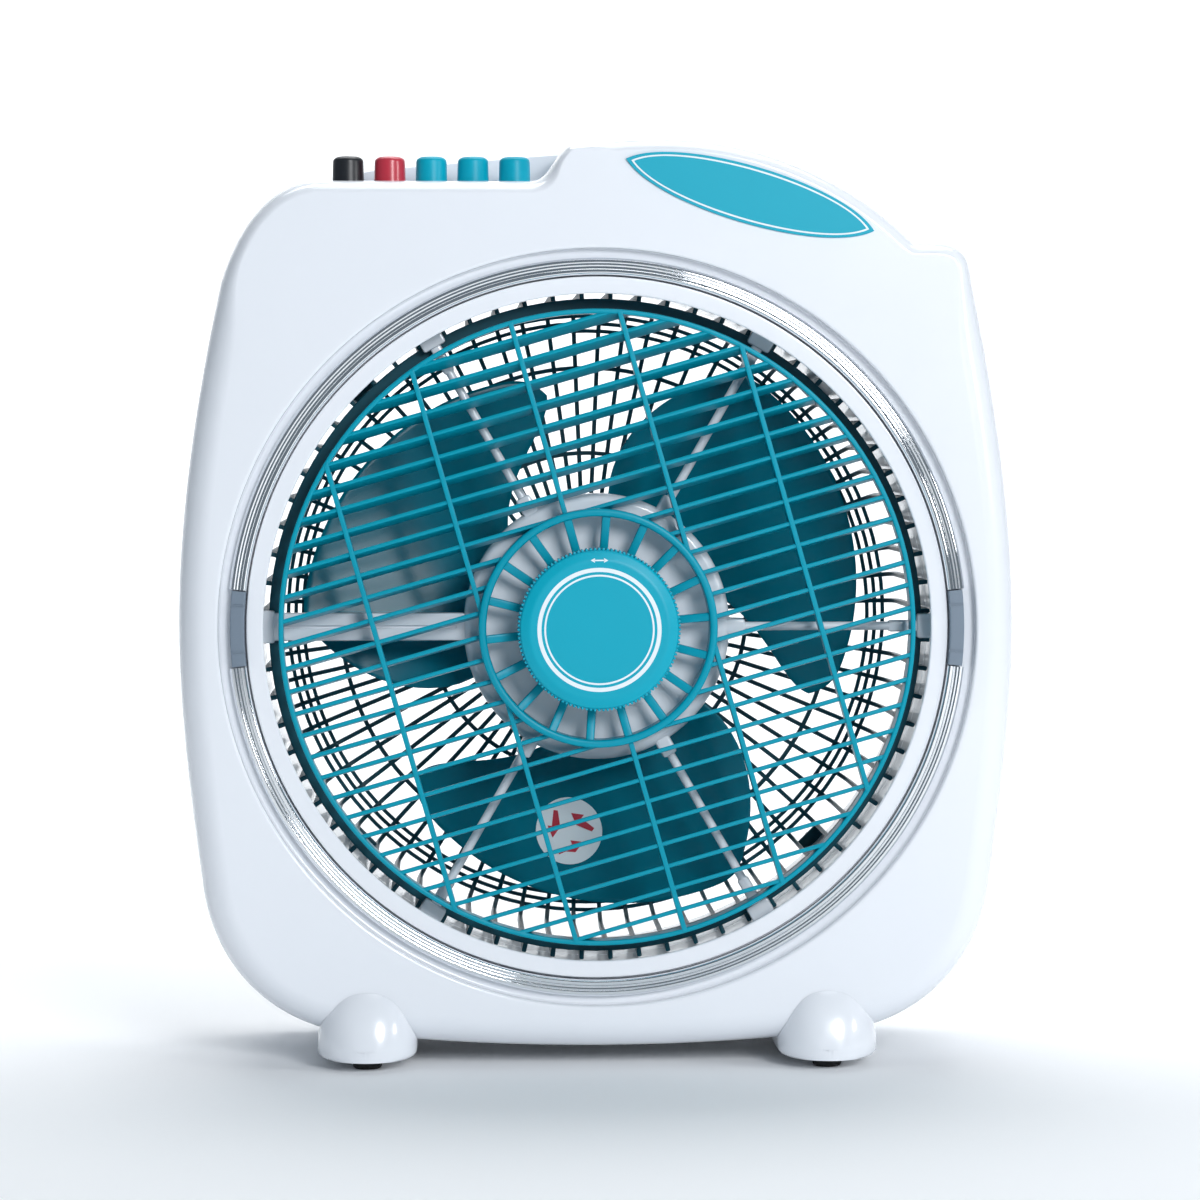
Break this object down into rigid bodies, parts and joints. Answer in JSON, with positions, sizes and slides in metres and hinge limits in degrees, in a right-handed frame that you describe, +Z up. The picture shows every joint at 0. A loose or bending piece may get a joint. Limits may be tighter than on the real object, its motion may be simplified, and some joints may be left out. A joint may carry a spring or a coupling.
{
  "type": "box fan",
  "caption": "Upright box fan: barrel-sided white body, round rotating louvre with a clamp knob, push-button ledge, handle hump, rear grille and two feet.",
  "frame": {"origin": "on the floor, at the middle of the overall bounding box", "axes": "+Z up, -Y the way the air blows (front, louvre and knob side), +X to the right seen from the front"},
  "size_m": [0.368, 0.17, 0.409],
  "materials": {
    "white_shell": "glossy moulded ABS, cool white",
    "chrome_trim": "polished",
    "clip_grey": "satin",
    "louvre_teal": "glossy moulded plastic",
    "knob_teal": "glossy moulded plastic",
    "dark_teal": "semi-gloss moulded plastic",
    "blade_teal": "translucent glossy plastic",
    "steel": "turned and zinc plated",
    "lamination": "stacked electrical steel",
    "copper": "varnished copper windings",
    "brass_insert": "machined",
    "bronze": "sintered, oiled",
    "die_cast": "die cast",
    "black_plastic": "satin",
    "red_plastic": "glossy",
    "rubber": "matte",
    "switch_cream": "satin"
  },
  "bodies": {
    "cabinet": {"front_housing": "white_shell", "rear_housing": "white_shell", "duct_ring": "white_shell", "louvre_bracket": "white_shell", "louvre_motor_cover": "white_shell", "foot_left": "white_shell", "foot_right": "white_shell", "trim_ring_upper": "chrome_trim", "trim_ring_lower": "chrome_trim", "trim_clip_left": "clip_grey", "trim_clip_right": "clip_grey", "badge": "knob_teal", "rear_grille": "dark_teal", "motor_cover": "dark_teal", "housing_screw_1": "steel", "housing_screw_2": "steel", "housing_screw_3": "steel", "housing_screw_4": "steel", "housing_screw_5": "steel", "housing_screw_6": "steel", "grille_screw_1": "steel", "grille_screw_2": "steel", "grille_screw_3": "steel", "grille_screw_4": "steel", "switch_screw_1": "steel", "switch_screw_2": "steel", "stator_core": "lamination", "winding_front": "copper", "winding_rear": "copper", "bearing_front": "bronze", "bearing_rear": "bronze", "motor_front_shield": "die_cast", "motor_rear_shield": "die_cast", "louvre_motor": "die_cast", "capacitor": "black_plastic", "cord_gland": "black_plastic", "pad_left_front": "rubber", "pad_left_rear": "rubber", "pad_right_front": "rubber", "pad_right_rear": "rubber", "switch_block": "switch_cream"},
    "rotor": {"fan_blade": "blade_teal", "blade_nut": "dark_teal", "motor_shaft": "steel", "rotor_core": "lamination"},
    "louvre": {"louvre_grille": "louvre_teal", "louvre_spindle": "steel"},
    "knob_thread": {"knob_insert": "brass_insert"},
    "knob": {"knob_cap": "knob_teal"},
    "key_off": {"button_off": "black_plastic", "plunger_off": "switch_cream"},
    "key_swing": {"button_swing": "red_plastic", "plunger_swing": "switch_cream"},
    "key_low": {"button_low": "knob_teal", "plunger_low": "switch_cream"},
    "key_medium": {"button_medium": "knob_teal", "plunger_medium": "switch_cream"},
    "key_high": {"button_high": "knob_teal", "plunger_high": "switch_cream"}
  },
  "joints": [
    {"name": "rotor_spin", "type": "hinge", "parent": "cabinet", "child": "rotor", "pos_m": [0, 0.02, 0.194], "axis": [0, 1, 0], "continuous": true},
    {"name": "louvre_spin", "type": "hinge", "parent": "cabinet", "child": "louvre", "pos_m": [0, -0.06, 0.194], "axis": [0, 1, 0], "continuous": true},
    {"name": "knob_advance", "type": "slide", "parent": "louvre", "child": "knob_thread", "axis": [0, -1, 0], "range_m": [0, 0.0015]},
    {"name": "knob_turn", "type": "hinge", "parent": "knob_thread", "child": "knob", "pos_m": [0, -0.075, 0.194], "axis": [0, -1, 0], "range_deg": [0, 360]},
    {"name": "press_off", "type": "slide", "parent": "cabinet", "child": "key_off", "axis": [0, 0, -1], "range_m": [0, 0.004], "stiffness_N_per_m": 300},
    {"name": "press_swing", "type": "slide", "parent": "cabinet", "child": "key_swing", "axis": [0, 0, -1], "range_m": [0, 0.004], "stiffness_N_per_m": 300},
    {"name": "press_low", "type": "slide", "parent": "cabinet", "child": "key_low", "axis": [0, 0, -1], "range_m": [0, 0.004], "stiffness_N_per_m": 300},
    {"name": "press_medium", "type": "slide", "parent": "cabinet", "child": "key_medium", "axis": [0, 0, -1], "range_m": [0, 0.004], "stiffness_N_per_m": 300},
    {"name": "press_high", "type": "slide", "parent": "cabinet", "child": "key_high", "axis": [0, 0, -1], "range_m": [0, 0.004], "stiffness_N_per_m": 300}
  ],
  "couplings": [
    {"joint": "knob_advance", "follows": "knob_turn", "m_per_rad": 0.00023873}
  ]
}
